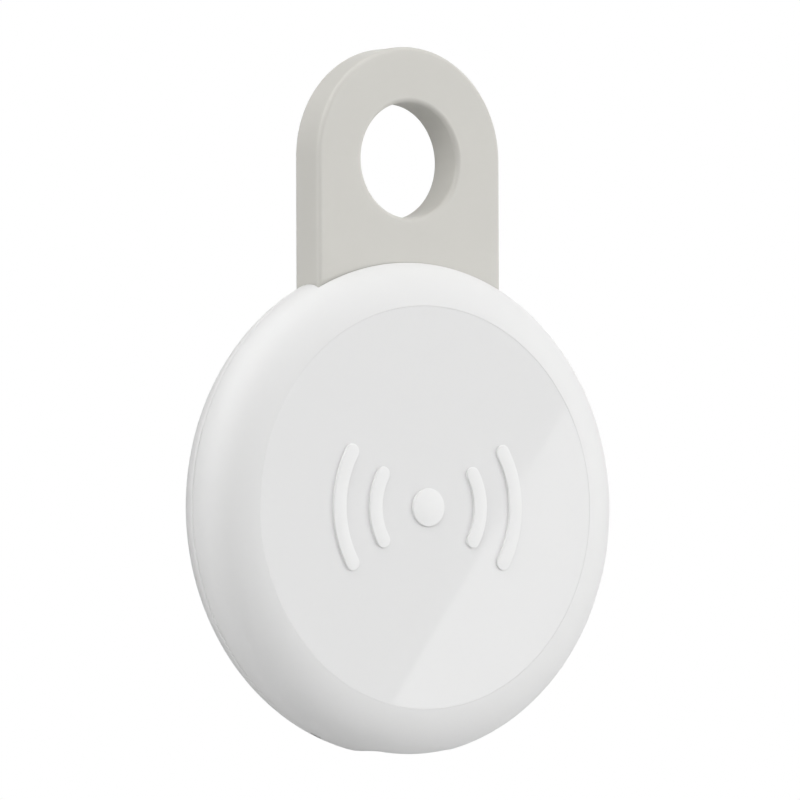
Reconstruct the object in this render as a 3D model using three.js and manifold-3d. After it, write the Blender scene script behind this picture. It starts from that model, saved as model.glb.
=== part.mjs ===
// A round bluetooth tracker tag that hangs on a soft loop.
//
// Millimetres, +Z up. The tag hangs as it does from a key ring: the origin is the centre of the
// loop's eye, the glossy press face looks along -Y and the flat back along +Y. Shapes are written
// about the puck's own centre, on the seam plane between the two shells, and the whole model is
// then lowered so that the eye lies at the origin.

import * as THREE from 'three';
import { mergeVertices } from 'three/addons/utils/BufferGeometryUtils.js';
import Module from 'manifold-3d';

const wasm = await Module();
wasm.setup();

// ---------------------------------------------------------------- driving dimensions
// Puck, outside
const PUCK_R = 19.5;
const FRONT_DEPTH = 3.9; // seam plane to press face
const BACK_DEPTH = 4.3; // seam plane to flat back
const WIDEST_AHEAD = 0.35; // the widest circle lies this far in front of the seam
const FRONT_CURVE_WIDTH = 5.4; // radial width of the front curve, which the press face cuts
const BACK_CURVE_WIDTH = 6.9;
const FRONT_FULLNESS = 2.33; // superellipse exponents of the two rounded edges
const BACK_FULLNESS = 2.18;
const SEAM_GAP = 0.1;
const FIT = 0.05; // gap left around small pieces that sit in a recess

// Shells, inside
const FRONT_WALL = 1.0;
const BACK_WALL = 1.2;
const SIDE_WALL = 2.3;
const INNER_CURVE_WIDTH = 4.8;
const LAP_LAND = 1.3; // outer land where the two shells meet
const LAP_CLEARANCE = 0.1;
const LAP_RISE = 0.5; // how far the back shell's lap stands into the front shell
const SHELL_SEAL_THICKNESS = 0.5;

// Press face
const RIM_BAND = 3.75; // matt rim seen around the press face
const FACE_GAP = 0.1;
const FACE_FLANGE = 0.75; // flange that keeps the cap behind the rim
const FACE_FLANGE_DEPTH = 0.8;
const FACE_FLANGE_WIDTH = 2.0;
const FACE_BORE_CLEARANCE = 0.2;
const FACE_SEAL_SECTION = 0.5;
const FACE_SEAL_CLEARANCE = 0.05;
const FACE_TRAVEL = 0.3;
const FACE_NUB_R = 1.6;
const FACE_CHAMFER = 0.1;
const MARK_RAISE = 0.15;
const MARK_DOT_R = 1.5;
const MARK_STROKE = 1.2;
const MARK_ARC_RADII = [5.0, 8.4];
const MARK_HALF_ANGLE = THREE.MathUtils.degToRad(31);

// Loop
const EYE_RISE = 7.8; // puck edge to the centre of the eye
const EYE_R = 4.55;
const LOOP_HALF_WIDTH = 8.74;
const LOOP_TOP_RISE = 0.16; // centre of the loop's round top, above the eye's centre
const LOOP_THICKNESS = 3.35;
const LOOP_FILLET = 0.4;
const FLEX_RISE = 1.25; // puck edge to the line where the neck bends
const FLEX_CLEARANCE = 0.3;
const SLOT_CLEARANCE = 0.1;
const TONGUE_FRONT = -0.9;
const TONGUE_BACK = 1.6;
const TONGUE_HALF_WIDTH = 7.4;
const TONGUE_LENGTH = 3.6; // how far the thin tongue reaches inside the shells
const TONGUE_POST_R = 0.7;
const TONGUE_POST_SPREAD = 5.0;
const TONGUE_HOLE_CLEARANCE = 0.1;

// Board and what stands on it
const BOARD_FRONT = -1.0;
const BOARD_THICKNESS = 0.6;
const BOARD_EDGE_CLEARANCE = 0.6;
const BOARD_TONGUE_GAP = 0.3;
const BOARD_NOTCH_CLEARANCE = 0.12;
const POST_R = 1.2;
const POST_PIN_R = 0.6;
const POST_GAP = 0.9;
const POST_ANGLES = [18, 162, 231, 309];
const SWITCH_SIZE = 4.5;
const SWITCH_HEIGHT = 0.9;
const PLUNGER_R = 0.9;
const PLUNGER_CLEARANCE = 0.12;
const PLUNGER_STAND = 0.5; // plunger above the switch's top
const PLUNGER_LENGTH = 0.75;
const PLUNGER_WELL_CLEARANCE = 0.1; // left under the plunger when it is fully pressed
const NUB_GAP = 0.05;

// Charging port
const PORT_MARGIN = 0.2; // the mouth in the shells stands this far clear of the port's sheet
const USB_HALF_WIDTH = 4.47;
const USB_HALF_HEIGHT = 1.58;
const USB_LENGTH = 7.2;
const USB_RECESS = 0.6;
const USB_SHEET = 0.3;
const USB_FLAT = 0.1; // half the straight stretch of the port's narrow sides
const USB_FOOT_ROOT = 0.65; // solder feet start this far inside the sheet's outer face
const USB_FOOT_REACH = 1.0;
const USB_FOOT_PLACE = 3.0;
const USB_FOOT_WIDTH = 1.5;
const USB_TONGUE_HALF_WIDTH = 3.35;
const USB_TONGUE_HALF_HEIGHT = 0.35;
const USB_GASKET_WALL = 0.55;
const USB_GASKET_LENGTH = 1.0;
const USB_GASKET_DEPTH = 1.75; // puck edge to the gasket

// Battery
const BATTERY_R = 10.0;
const BATTERY_THICKNESS = 2.5;
const BATTERY_PAD = 0.2;
const CAN_SHEET = 0.25;
const LID_INSET = 0.9;
const LID_THICKNESS = 0.3;
const CAN_LIP_DROP = 0.15;
const TAB_SHEET = 0.15;
const TAB_WIDTH = 3.0;
const TAB_STAND_OFF = 0.45;
const TAB_SLOT_CLEARANCE = 0.3;
const NEGATIVE_TAB = { angle: 0, weldR: 1.5 };
const POSITIVE_TAB = { angle: 60, weldR: 5.0 };

// Sounder
const PIEZO_R = 11.0;
const PIEZO_TONGUE_GAP = 1.6;
const PIEZO_PLATE = 0.2;
const PIEZO_ADHESIVE = 0.1;
const PIEZO_ADHESIVE_WIDTH = 1.5;
const CERAMIC_R = 8.0;
const CERAMIC_THICKNESS = 0.2;
const LEAD_WIDTH = 1.2;
const LEAD_STAND_OFF = 0.8;
const PLATE_LEAD = { angle: 205, overlap: 1.2 };
const CERAMIC_LEAD = { angle: 188, overlap: 1.5 };
const SOUND_SLOT_ANGLE = THREE.MathUtils.degToRad(24); // from the bottom towards -X
const SOUND_SLOT_WIDTH = 1.1;
const SOUND_SLOT_HEIGHT = 0.5;
const MEMBRANE_WIDTH = 2.4;
const MEMBRANE_HEIGHT = 1.4;
const MEMBRANE_THICKNESS = 0.2;

// Fineness
const AROUND = 60;
const MIDDLE_AROUND = 40;
const EDGE_STEPS = 7;
const SMALL_AROUND = 20;
const LOOP_SEGMENTS = 18;
const MARK_SEGMENTS = 7;
const FILLET_SEGMENTS = 3;
const OVERRUN = 2.0; // how far a cutting body runs past what it cuts

// ---------------------------------------------------------------- worked-out places
const backInnerR = PUCK_R - SIDE_WALL;
const lapOuterR = PUCK_R - LAP_LAND - LAP_CLEARANCE;
const openingR = PUCK_R - RIM_BAND;
const faceR = openingR - FACE_GAP;
const flangeR = openingR + FACE_FLANGE - FACE_GAP;
const faceBoreR = flangeR + FACE_BORE_CLEARANCE;
const faceBackY = -FRONT_DEPTH + FRONT_WALL;
const flangeBackY = faceBackY + FACE_FLANGE_DEPTH;
const floorY = BACK_DEPTH - BACK_WALL;
const boardBackY = BOARD_FRONT + BOARD_THICKNESS;
const boardR = faceBoreR - BOARD_EDGE_CLEARANCE;
const eyeZ = PUCK_R + EYE_RISE;
const flexZ = PUCK_R + FLEX_RISE;
const halfLoop = LOOP_THICKNESS / 2;
const neckInnerR = backInnerR;
const tongueEndZ = neckInnerR - TONGUE_LENGTH;
const tonguePostZ = (tongueEndZ + Math.sqrt(neckInnerR ** 2 - TONGUE_POST_SPREAD ** 2)) / 2;
const usbMouthZ = -(PUCK_R - USB_RECESS);
const usbEndZ = usbMouthZ + USB_LENGTH;
const gasketZ = -(PUCK_R - USB_GASKET_DEPTH);
const batteryZ = (tongueEndZ + usbEndZ) / 2;
const batteryFrontY = boardBackY + BATTERY_PAD;
const batteryBackY = batteryFrontY + BATTERY_THICKNESS;
const piezoZ = tongueEndZ - PIEZO_TONGUE_GAP - PIEZO_R;
const plateFrontY = floorY - PIEZO_ADHESIVE - PIEZO_PLATE;
const ceramicFrontY = plateFrontY - CERAMIC_THICKNESS;
const postRing = Math.max(BATTERY_R, PIEZO_R) + POST_GAP + POST_R;

// ---------------------------------------------------------------- shape helpers
function signedVolume(geometry) {
  const place = geometry.attributes.position;
  const index = geometry.index.array;
  const a = new THREE.Vector3();
  const b = new THREE.Vector3();
  const c = new THREE.Vector3();
  let sum = 0;
  for (let i = 0; i < index.length; i += 3) {
    a.fromBufferAttribute(place, index[i]);
    b.fromBufferAttribute(place, index[i + 1]);
    c.fromBufferAttribute(place, index[i + 2]);
    sum += a.dot(b.cross(c));
  }
  return sum / 6;
}

// A closed three.js shape as a manifold solid with its faces pointing out.
function solid(geometry) {
  const bare = geometry.clone();
  bare.deleteAttribute('normal');
  bare.deleteAttribute('uv');
  const merged = mergeVertices(bare, 1e-5);
  const triVerts = Uint32Array.from(merged.index.array);
  if (signedVolume(merged) < 0) {
    for (let i = 0; i < triVerts.length; i += 3) {
      [triVerts[i], triVerts[i + 1]] = [triVerts[i + 1], triVerts[i]];
    }
  }
  const kept = [];
  for (let i = 0; i < triVerts.length; i += 3) {
    const [a, b, c] = [triVerts[i], triVerts[i + 1], triVerts[i + 2]];
    if (a !== b && b !== c && c !== a) kept.push(a, b, c);
  }
  return new wasm.Manifold(new wasm.Mesh({
    numProp: 3,
    vertProperties: Float32Array.from(merged.attributes.position.array),
    triVerts: Uint32Array.from(kept),
  }));
}

function toGeometry(body) {
  const mesh = body.getMesh();
  const geometry = new THREE.BufferGeometry();
  geometry.setAttribute('position', new THREE.BufferAttribute(mesh.vertProperties.slice(), 3));
  geometry.setIndex(new THREE.BufferAttribute(mesh.triVerts.slice(), 1));
  geometry.computeVertexNormals();
  return geometry;
}

function union(...bodies) {
  return bodies.reduce((whole, next) => whole.add(next));
}

function box(x0, x1, y0, y1, z0, z1) {
  const geometry = new THREE.BoxGeometry(x1 - x0, y1 - y0, z1 - z0);
  geometry.translate((x0 + x1) / 2, (y0 + y1) / 2, (z0 + z1) / 2);
  return solid(geometry);
}

// A closed profile of [radius, y] points turned about the Y axis through (0, z).
function turned(points, z = 0, around = AROUND) {
  const profile = points.map(([r, y]) => new THREE.Vector2(r, y));
  const onAxis = points[0][0] === 0 && points[points.length - 1][0] === 0;
  if (!onAxis) profile.push(profile[0].clone());
  const geometry = new THREE.LatheGeometry(profile, around);
  geometry.translate(0, 0, z);
  return solid(geometry);
}

function disc(radius, y0, y1, x = 0, z = 0, around = SMALL_AROUND) {
  const geometry = new THREE.CylinderGeometry(radius, radius, y1 - y0, around);
  geometry.translate(x, (y0 + y1) / 2, z);
  return solid(geometry);
}

function ring(innerR, outerR, y0, y1, z = 0, around = AROUND) {
  return turned([[innerR, y0], [outerR, y0], [outerR, y1], [innerR, y1]], z, around);
}

// An outline drawn in X and Z, given thickness along Y.
function plate(shape, y0, y1, fillet = 0, curveSegments = LOOP_SEGMENTS) {
  const geometry = new THREE.ExtrudeGeometry(shape, {
    depth: y1 - y0 - 2 * fillet,
    curveSegments,
    bevelEnabled: fillet > 0,
    bevelThickness: fillet,
    bevelSize: fillet,
    bevelOffset: -fillet,
    bevelSegments: FILLET_SEGMENTS,
  });
  geometry.rotateX(Math.PI / 2);
  geometry.translate(0, y1 - fillet, 0);
  return solid(geometry);
}

// A rod with rounded-rectangle section, its length along Z.
function roundedRod(halfWidth, halfHeight, cornerR, z0, z1) {
  const shape = new THREE.Shape();
  shape.moveTo(-halfWidth + cornerR, -halfHeight);
  shape.lineTo(halfWidth - cornerR, -halfHeight);
  shape.absarc(halfWidth - cornerR, -halfHeight + cornerR, cornerR, -Math.PI / 2, 0);
  shape.absarc(halfWidth - cornerR, halfHeight - cornerR, cornerR, 0, Math.PI / 2);
  shape.absarc(-halfWidth + cornerR, halfHeight - cornerR, cornerR, Math.PI / 2, Math.PI);
  shape.absarc(-halfWidth + cornerR, -halfHeight + cornerR, cornerR, Math.PI, 1.5 * Math.PI);
  const options = { depth: z1 - z0, bevelEnabled: false, curveSegments: 6 };
  const geometry = new THREE.ExtrudeGeometry(shape, options);
  geometry.translate(0, 0, z0);
  return solid(geometry);
}

function barAlongX(radius, halfLength, z) {
  const geometry = new THREE.CylinderGeometry(radius, radius, 2 * halfLength, 40);
  geometry.rotateZ(Math.PI / 2);
  geometry.translate(0, 0, z);
  return solid(geometry);
}

// The rounded edge of the puck, from a circle at the given depth out to its widest circle.
function edgeCurve(outerR, width, depth, fullness, startR = outerR - width) {
  const startShare = Math.max((startR - outerR + width) / width, 0);
  const start = Math.asin(startShare ** (fullness / 2));
  const fullDepth = depth / Math.cos(start) ** (2 / fullness);
  const points = [];
  for (let i = 0; i <= EDGE_STEPS; i += 1) {
    const t = start + (i / EDGE_STEPS) * (Math.PI / 2 - start);
    const r = outerR - width + width * Math.sin(t) ** (2 / fullness);
    const y = fullDepth * Math.max(Math.cos(t), 0) ** (2 / fullness);
    points.push([r, y]);
  }
  points[EDGE_STEPS][1] = 0;
  return points;
}

// The radius of the rounded back edge, or of its inside, at a distance behind the seam.
function backRadiusAt(outerR, width, flatY, y) {
  const fall = (WIDEST_AHEAD + y) / (WIDEST_AHEAD + flatY);
  return outerR - width * (1 - (1 - fall ** BACK_FULLNESS) ** (1 / BACK_FULLNESS));
}

const meshes = [];

function part(name, body, color, roughness, metalness = 0) {
  const material = new THREE.MeshStandardMaterial({ color, roughness, metalness });
  const mesh = new THREE.Mesh(toGeometry(body), material);
  mesh.name = name;
  meshes.push(mesh);
}

const WHITE = 0xe2e2e0;
const GLOSS_WHITE = 0xe6e6e6;
const SILICONE = 0xcac9c4;
const STEEL = 0xb4b5b6;
const GOLD = 0xc9a24e;
const BLACK = 0x1c1d1f;
const BOARD_GREEN = 0x1f5a3c;

// ---------------------------------------------------------------- loop
function loopOutline(bottomZ) {
  const top = eyeZ + LOOP_TOP_RISE;
  const shape = new THREE.Shape();
  shape.moveTo(-LOOP_HALF_WIDTH, bottomZ);
  shape.lineTo(LOOP_HALF_WIDTH, bottomZ);
  shape.lineTo(LOOP_HALF_WIDTH, top);
  shape.absarc(0, top, LOOP_HALF_WIDTH, 0, Math.PI);
  return shape;
}

// The eye ends in a round knuckle, about which the neck bends.
function makeLoopEye() {
  const outline = loopOutline(flexZ - LOOP_THICKNESS);
  const eye = new THREE.Path();
  eye.absarc(0, eyeZ, EYE_R, 0, 2 * Math.PI, true);
  outline.holes.push(eye);
  const slab = plate(outline, -halfLoop, halfLoop, LOOP_FILLET);
  const wide = LOOP_HALF_WIDTH + OVERRUN;
  const above = box(-wide, wide, -LOOP_THICKNESS, LOOP_THICKNESS, flexZ, eyeZ + 2 * LOOP_HALF_WIDTH);
  part('loop_eye', slab.intersect(union(above, barAlongX(halfLoop, wide, flexZ))), SILICONE, 0.7);
}

// The neck is cupped around the knuckle and ends inside the shells in a thin tongue on two posts.
function makeLoopNeck() {
  const wide = LOOP_HALF_WIDTH + OVERRUN;
  const slab = plate(loopOutline(0), -halfLoop, halfLoop, LOOP_FILLET)
    .subtract(box(-wide, wide, -LOOP_THICKNESS, LOOP_THICKNESS, flexZ, eyeZ + 2 * LOOP_HALF_WIDTH))
    .subtract(barAlongX(halfLoop + FLEX_CLEARANCE, wide, flexZ))
    .subtract(disc(neckInnerR, -LOOP_THICKNESS, LOOP_THICKNESS, 0, 0, AROUND));
  const tongueTopZ = Math.sqrt(neckInnerR ** 2 - TONGUE_HALF_WIDTH ** 2) + 1;
  const half = TONGUE_HALF_WIDTH;
  let body = slab.add(box(-half, half, TONGUE_FRONT, TONGUE_BACK, tongueEndZ, tongueTopZ));
  for (const side of [-1, 1]) {
    const holeR = TONGUE_POST_R + TONGUE_HOLE_CLEARANCE;
    const x = side * TONGUE_POST_SPREAD;
    body = body.subtract(disc(holeR, TONGUE_FRONT - 1, TONGUE_BACK + 1, x, tonguePostZ));
  }
  part('loop_neck', body, SILICONE, 0.7);
}

// ---------------------------------------------------------------- shells
function loopSlot() {
  const halfWidth = LOOP_HALF_WIDTH + SLOT_CLEARANCE;
  const halfDepth = halfLoop + SLOT_CLEARANCE;
  return box(-halfWidth, halfWidth, -halfDepth, halfDepth, tongueEndZ, PUCK_R + OVERRUN);
}

function portCut() {
  const halfWidth = USB_HALF_WIDTH + PORT_MARGIN;
  const halfHeight = USB_HALF_HEIGHT + PORT_MARGIN;
  const mouth = roundedRod(halfWidth, halfHeight, halfHeight - USB_FLAT, -PUCK_R - OVERRUN, usbEndZ);
  const seatHalfWidth = USB_HALF_WIDTH + FIT + USB_GASKET_WALL + FIT;
  const seatHalfHeight = USB_HALF_HEIGHT + FIT + USB_GASKET_WALL + FIT;
  const seatBottom = gasketZ - FIT;
  const corner = seatHalfHeight - USB_FLAT;
  const seat = roundedRod(seatHalfWidth, seatHalfHeight, corner, seatBottom, usbEndZ);
  return union(mouth, seat);
}

function soundSlot() {
  const long = SIDE_WALL + 2 * OVERRUN;
  const geometry = new THREE.BoxGeometry(SOUND_SLOT_WIDTH, SOUND_SLOT_HEIGHT, long);
  geometry.translate(0, 0, -(PUCK_R + OVERRUN - long / 2));
  geometry.rotateY(SOUND_SLOT_ANGLE);
  return solid(geometry);
}

function makeFrontShell() {
  const curveDepth = FRONT_DEPTH - WIDEST_AHEAD;
  const edge = edgeCurve(PUCK_R, FRONT_CURVE_WIDTH, curveDepth, FRONT_FULLNESS, openingR);
  const outer = edge.map(([r, y]) => [r, -WIDEST_AHEAD - y]);
  const seamY = -SEAM_GAP / 2;
  const shoulderY = -LAP_RISE - SHELL_SEAL_THICKNESS;
  const lapR = lapOuterR + LAP_CLEARANCE;
  const profile = [
    ...outer,
    [PUCK_R, seamY],
    [lapR, seamY],
    [lapR, shoulderY],
    [faceBoreR, shoulderY],
    [faceBoreR, faceBackY],
    [openingR, faceBackY],
  ];
  const bridgeR = neckInnerR - SLOT_CLEARANCE;
  const bridge = disc(bridgeR, -FRONT_DEPTH - 1, shoulderY, 0, 0, AROUND);
  const body = turned(profile)
    .subtract(loopSlot().subtract(bridge))
    .subtract(portCut())
    .subtract(soundSlot());
  part('front_shell', body, WHITE, 0.6);
}

function postPlaces() {
  return POST_ANGLES.map((degrees) => {
    const angle = THREE.MathUtils.degToRad(degrees);
    return [postRing * Math.cos(angle), batteryZ + postRing * Math.sin(angle)];
  });
}

// The back shell's outside shape drawn in by half its wall, which the posts and shelf end at.
function insideBackSkin() {
  const outerR = PUCK_R - SIDE_WALL / 2;
  const width = BACK_CURVE_WIDTH - SIDE_WALL / 2;
  const flatY = BACK_DEPTH - BACK_WALL / 2;
  const edge = edgeCurve(outerR, width, flatY + WIDEST_AHEAD, BACK_FULLNESS);
  const curve = edge.map(([r, y]) => [r, y - WIDEST_AHEAD]).reverse();
  return turned([[0, -FRONT_DEPTH], [outerR, -FRONT_DEPTH], ...curve, [0, flatY]]);
}

// Posts that carry the board, and a shelf with two posts that holds the loop's tongue.
function shelfAndPosts() {
  const half = TONGUE_HALF_WIDTH;
  const shelfR = neckInnerR - SLOT_CLEARANCE;
  let body = box(-half, half, TONGUE_BACK, BACK_DEPTH, tongueEndZ, PUCK_R)
    .intersect(disc(shelfR, TONGUE_BACK, BACK_DEPTH, 0, 0, AROUND));
  for (const side of [-1, 1]) {
    const x = side * TONGUE_POST_SPREAD;
    body = body.add(disc(TONGUE_POST_R, TONGUE_FRONT, BACK_DEPTH, x, tonguePostZ));
  }
  for (const [x, z] of postPlaces()) {
    body = body.add(disc(POST_R, boardBackY, BACK_DEPTH, x, z));
    body = body.add(disc(POST_PIN_R, BOARD_FRONT - SLOT_CLEARANCE, BACK_DEPTH, x, z));
  }
  return body;
}

function makeBackShell() {
  const outerEdge = edgeCurve(PUCK_R, BACK_CURVE_WIDTH, BACK_DEPTH + WIDEST_AHEAD, BACK_FULLNESS);
  const innerEdge = edgeCurve(backInnerR, INNER_CURVE_WIDTH, floorY + WIDEST_AHEAD, BACK_FULLNESS);
  const seamY = SEAM_GAP / 2;
  const outer = outerEdge.map(([r, y]) => [r, y - WIDEST_AHEAD]).filter(([, y]) => y > seamY);
  const inner = innerEdge.map(([r, y]) => [r, y - WIDEST_AHEAD]).filter(([, y]) => y > seamY);
  const seamR = backRadiusAt(PUCK_R, BACK_CURVE_WIDTH, BACK_DEPTH, seamY);
  const profile = [
    [0, floorY],
    ...inner,
    [backInnerR, seamY],
    [backInnerR, -LAP_RISE],
    [lapOuterR, -LAP_RISE],
    [lapOuterR, seamY],
    [seamR, seamY],
    ...outer.reverse(),
    [0, BACK_DEPTH],
  ];
  const body = turned(profile)
    .subtract(loopSlot())
    .subtract(portCut())
    .subtract(soundSlot());
  part('back_shell', body.add(shelfAndPosts().intersect(insideBackSkin())), WHITE, 0.6);
}

// Two lengths of seal run between the loop's neck and the port.
function makeShellSeals() {
  const whole = ring(backInnerR, lapOuterR, -LAP_RISE - SHELL_SEAL_THICKNESS, -LAP_RISE);
  const topGap = LOOP_HALF_WIDTH + SLOT_CLEARANCE;
  const bottomGap = USB_HALF_WIDTH + USB_GASKET_WALL + 4 * FIT;
  const far = PUCK_R + OVERRUN;
  const open = whole
    .subtract(box(-topGap, topGap, -far, far, 0, far))
    .subtract(box(-bottomGap, bottomGap, -far, far, -far, 0));
  part('shell_seal_left', open.subtract(box(0, far, -far, far, -far, far)), 0x5a5c5e, 0.8);
  part('shell_seal_right', open.subtract(box(-far, 0, -far, far, -far, far)), 0x5a5c5e, 0.8);
}

function makeVentMembrane() {
  const wallR = backRadiusAt(backInnerR, INNER_CURVE_WIDTH, floorY, MEMBRANE_HEIGHT / 2);
  const sag = wallR - Math.sqrt(wallR ** 2 - (MEMBRANE_WIDTH / 2) ** 2);
  const outer = wallR - sag - FIT;
  const geometry = new THREE.BoxGeometry(MEMBRANE_WIDTH, MEMBRANE_HEIGHT, MEMBRANE_THICKNESS);
  geometry.translate(0, 0, -outer + MEMBRANE_THICKNESS / 2);
  geometry.rotateY(SOUND_SLOT_ANGLE);
  part('vent_membrane', solid(geometry), 0x2b2c2e, 0.9);
}

// ---------------------------------------------------------------- press face
function markArc(radius, side) {
  const outer = radius + MARK_STROKE / 2;
  const inner = radius - MARK_STROKE / 2;
  const middle = side > 0 ? 0 : Math.PI;
  const from = middle - MARK_HALF_ANGLE;
  const to = middle + MARK_HALF_ANGLE;
  const shape = new THREE.Shape();
  shape.absarc(0, 0, outer, from, to);
  const endX = radius * Math.cos(to);
  const endZ = radius * Math.sin(to);
  shape.absarc(endX, endZ, MARK_STROKE / 2, to, to + Math.PI);
  shape.absarc(0, 0, inner, to, from, true);
  const startX = radius * Math.cos(from);
  const startZ = radius * Math.sin(from);
  shape.absarc(startX, startZ, MARK_STROKE / 2, from + Math.PI, from + 2 * Math.PI);
  return plate(shape, -FRONT_DEPTH - MARK_RAISE, -FRONT_DEPTH + MARK_RAISE, 0, MARK_SEGMENTS);
}

// The cap carries a raised generic mark of a dot between broadcast arcs.
function makeFaceCap() {
  const grooveR = faceBoreR - FACE_SEAL_CLEARANCE - FACE_SEAL_SECTION;
  const grooveFront = faceBackY + (FACE_FLANGE_DEPTH - FACE_SEAL_SECTION) / 2;
  const grooveBack = grooveFront + FACE_SEAL_SECTION;
  const flangeInnerR = flangeR - FACE_FLANGE_WIDTH;
  let body = turned([
    [0, -FRONT_DEPTH],
    [faceR - FACE_CHAMFER, -FRONT_DEPTH],
    [faceR, -FRONT_DEPTH + FACE_CHAMFER],
    [faceR, faceBackY],
    [flangeR, faceBackY],
    [flangeR, grooveFront],
    [grooveR, grooveFront],
    [grooveR, grooveBack],
    [flangeR, grooveBack],
    [flangeR, flangeBackY],
    [flangeInnerR, flangeBackY],
    [flangeInnerR, faceBackY],
    [0, faceBackY],
  ]);
  const plungerTopY = BOARD_FRONT - SWITCH_HEIGHT - PLUNGER_STAND;
  body = body.add(disc(FACE_NUB_R, -FRONT_DEPTH + FRONT_WALL / 2, plungerTopY - NUB_GAP));
  body = body.add(disc(MARK_DOT_R, -FRONT_DEPTH - MARK_RAISE, -FRONT_DEPTH + MARK_RAISE));
  for (const radius of MARK_ARC_RADII) {
    for (const side of [-1, 1]) {
      body = body.add(markArc(radius, side));
    }
  }
  part('face_cap', body, GLOSS_WHITE, 0.12);
  const sealR = faceBoreR - FACE_SEAL_CLEARANCE;
  const seal = ring(grooveR, sealR, grooveFront, grooveBack);
  part('face_seal', seal, 0x3a3b3d, 0.8);
}

// ---------------------------------------------------------------- switch
function makeSwitch() {
  const half = SWITCH_SIZE / 2;
  const topY = BOARD_FRONT - SWITCH_HEIGHT;
  const wellR = PLUNGER_R + PLUNGER_CLEARANCE;
  const wellDepth = PLUNGER_LENGTH - PLUNGER_STAND + FACE_TRAVEL + PLUNGER_WELL_CLEARANCE;
  const base = box(-half, half, topY, BOARD_FRONT, -half, half)
    .subtract(disc(wellR, topY - 1, topY + wellDepth));
  part('switch_base', base, BLACK, 0.5);
  const plungerTop = topY - PLUNGER_STAND;
  part('switch_plunger', disc(PLUNGER_R, plungerTop, plungerTop + PLUNGER_LENGTH), 0xd8cfae, 0.5);
}

// ---------------------------------------------------------------- board
function makeBoard() {
  const far = PUCK_R + OVERRUN;
  const y0 = BOARD_FRONT - 1;
  const y1 = boardBackY + 1;
  const notch = USB_HALF_WIDTH + BOARD_NOTCH_CLEARANCE;
  let body = disc(boardR, BOARD_FRONT, boardBackY, 0, 0, AROUND)
    .subtract(box(-far, far, y0, y1, tongueEndZ - BOARD_TONGUE_GAP, far))
    .subtract(box(-notch, notch, y0, y1, -far, usbEndZ + BOARD_NOTCH_CLEARANCE));
  for (const [x, z] of postPlaces()) {
    body = body.subtract(disc(POST_PIN_R + SLOT_CLEARANCE, y0, y1, x, z));
  }
  part('main_board', body, BOARD_GREEN, 0.45);
}

// Small components on the board's front: width, height off the board, length, and place.
const COMPONENTS = [
  { name: 'radio_chip', w: 6.0, h: 0.8, l: 6.0, x: -7.6, z: 3.2, color: BLACK },
  { name: 'radio_crystal', w: 2.0, h: 0.5, l: 1.6, x: -7.2, z: -2.4, color: STEEL },
  { name: 'chip_antenna', w: 3.2, h: 0.6, l: 1.6, x: -6.4, z: 10.6, color: 0xe9e6dc },
  { name: 'charge_chip', w: 2.0, h: 0.6, l: 2.0, x: 6.2, z: -7.6, color: BLACK },
  { name: 'sounder_driver', w: 3.0, h: 0.7, l: 3.0, x: 7.4, z: 1.8, color: BLACK },
  { name: 'boost_coil', w: 3.0, h: 1.0, l: 3.0, x: 7.4, z: 6.6, color: 0x4a4b4e },
  { name: 'capacitor_1', w: 1.6, h: 0.7, l: 0.8, x: 7.4, z: -2.0, color: 0xb89a6a },
  { name: 'capacitor_2', w: 1.6, h: 0.7, l: 0.8, x: 6.2, z: -5.2, color: 0xb89a6a },
  { name: 'capacitor_3', w: 1.0, h: 0.5, l: 0.5, x: -3.6, z: 8.2, color: 0xb89a6a },
  { name: 'capacitor_4', w: 1.0, h: 0.5, l: 0.5, x: -7.2, z: -4.6, color: 0xb89a6a },
];

function makeComponents() {
  for (const { name, w, h, l, x, z, color } of COMPONENTS) {
    const block = box(x - w / 2, x + w / 2, BOARD_FRONT - h, BOARD_FRONT, z - l / 2, z + l / 2);
    part(name, block, color, 0.45, color === STEEL ? 0.9 : 0);
  }
}

// ---------------------------------------------------------------- charging port
function makeUsb() {
  const corner = USB_HALF_HEIGHT - USB_FLAT;
  const innerHalfWidth = USB_HALF_WIDTH - USB_SHEET;
  const innerHalfHeight = USB_HALF_HEIGHT - USB_SHEET;
  const innerCorner = innerHalfHeight - USB_FLAT;
  const wallZ = usbEndZ - USB_SHEET;
  const outside = roundedRod(USB_HALF_WIDTH, USB_HALF_HEIGHT, corner, usbMouthZ, usbEndZ);
  const inside = roundedRod(innerHalfWidth, innerHalfHeight, innerCorner, usbMouthZ - 1, wallZ);
  let shell = outside.subtract(inside);
  for (const side of [-1, 1]) {
    const near = side * (USB_HALF_WIDTH - USB_FOOT_ROOT);
    const far = side * (USB_HALF_WIDTH + USB_FOOT_REACH);
    const [x0, x1] = [Math.min(near, far), Math.max(near, far)];
    const z0 = usbEndZ - USB_FOOT_PLACE;
    shell = shell.add(box(x0, x1, BOARD_FRONT - USB_SHEET, BOARD_FRONT, z0, z0 + USB_FOOT_WIDTH));
  }
  part('usb_shell', shell, STEEL, 0.3, 0.9);
  const half = USB_TONGUE_HALF_WIDTH;
  const thick = USB_TONGUE_HALF_HEIGHT;
  part('usb_tongue', box(-half, half, -thick, thick, usbMouthZ + USB_RECESS, wallZ), BLACK, 0.5);
  const boreHalfWidth = USB_HALF_WIDTH + FIT;
  const boreHalfHeight = USB_HALF_HEIGHT + FIT;
  const seatHalfWidth = boreHalfWidth + USB_GASKET_WALL;
  const seatHalfHeight = boreHalfHeight + USB_GASKET_WALL;
  const gasketEnd = gasketZ + USB_GASKET_LENGTH;
  const seatCorner = seatHalfHeight - USB_FLAT;
  const gasket = roundedRod(seatHalfWidth, seatHalfHeight, seatCorner, gasketZ, gasketEnd)
    .subtract(roundedRod(boreHalfWidth, boreHalfHeight, corner, gasketZ - 1, gasketEnd + 1));
  part('usb_gasket', gasket, 0x3a3b3d, 0.8);
}

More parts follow.
